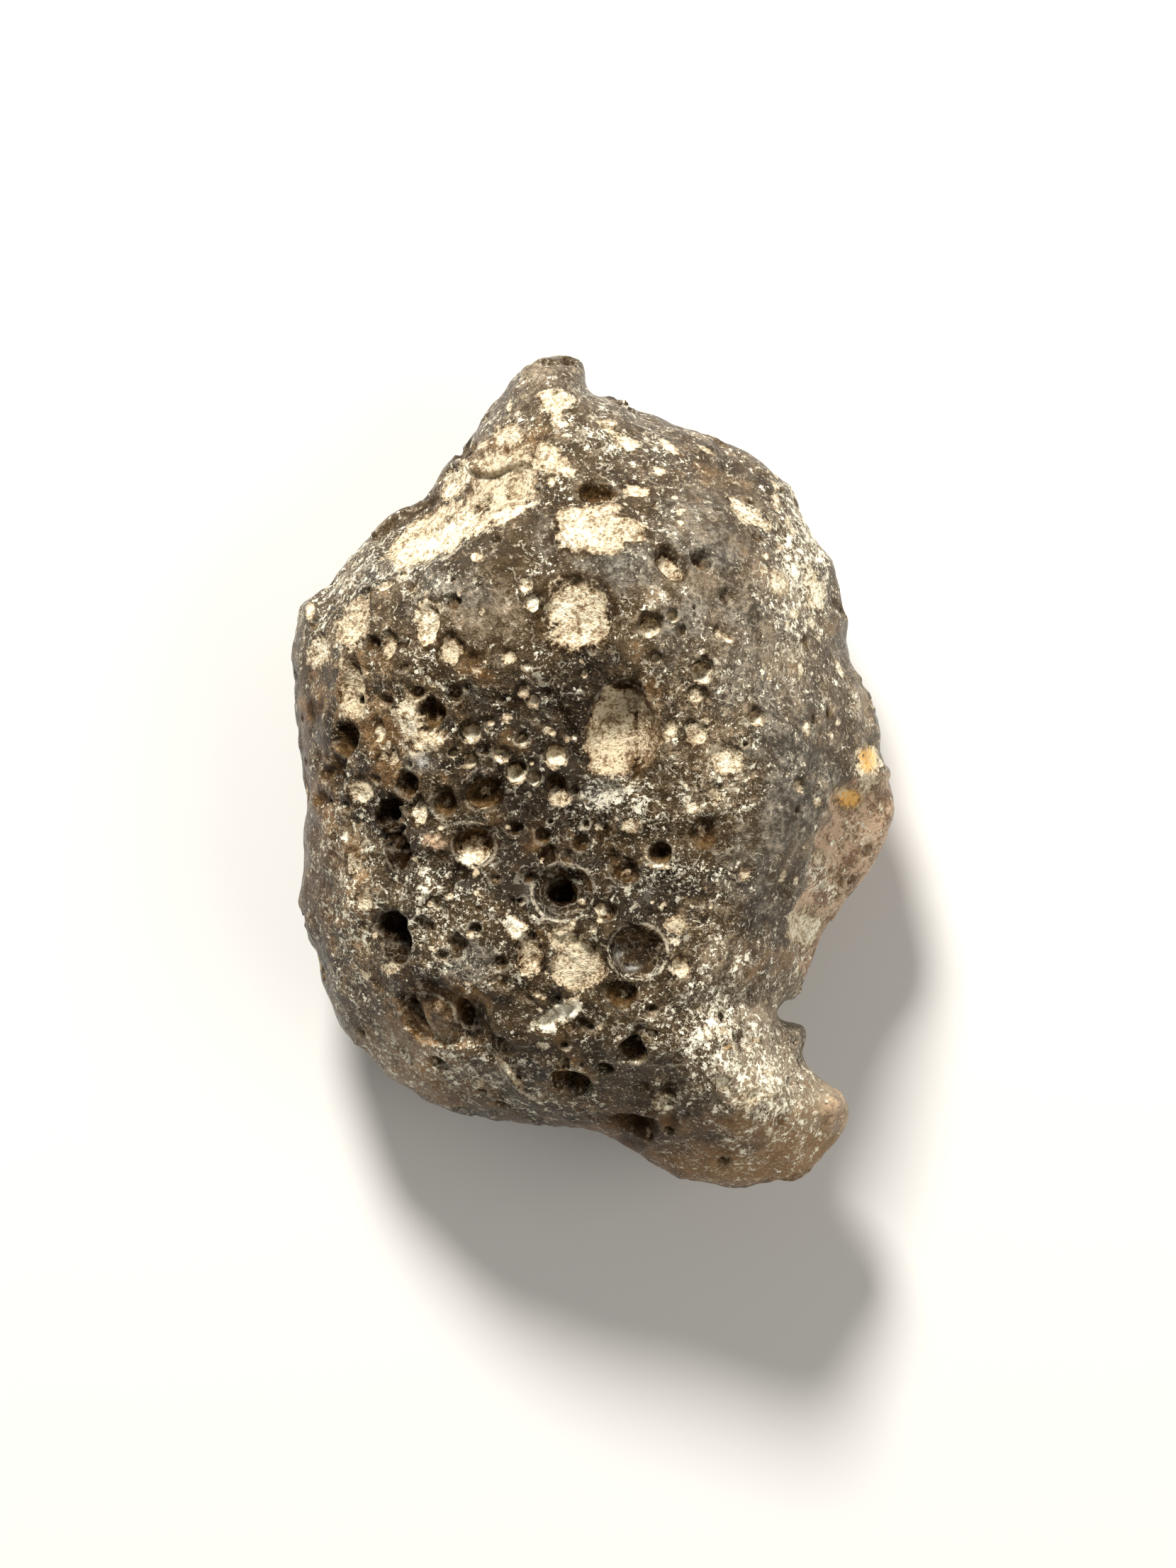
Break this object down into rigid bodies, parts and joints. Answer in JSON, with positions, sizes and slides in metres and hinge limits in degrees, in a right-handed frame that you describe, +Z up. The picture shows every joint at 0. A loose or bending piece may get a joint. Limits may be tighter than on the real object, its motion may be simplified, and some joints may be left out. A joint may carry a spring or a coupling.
{
  "type": "impact glass",
  "caption": "Chunky natural lump of pitted impact glass with a knob at one end, a notched spur at the other and a worn flat to rest on.",
  "frame": {"origin": "middle of the lump's outline box, on the surface that it rests on", "axes": "+Z up through the pitted upper side, +Y along the length towards the knob, +X across the width"},
  "size_m": [0.0264, 0.036, 0.0154],
  "materials": {
    "impact_glass": "dark grey glass, frosted and pitted, with tan dust in its bubbles"
  },
  "bodies": {
    "root": {"impact_glass": "impact_glass"}
  },
  "joints": []
}
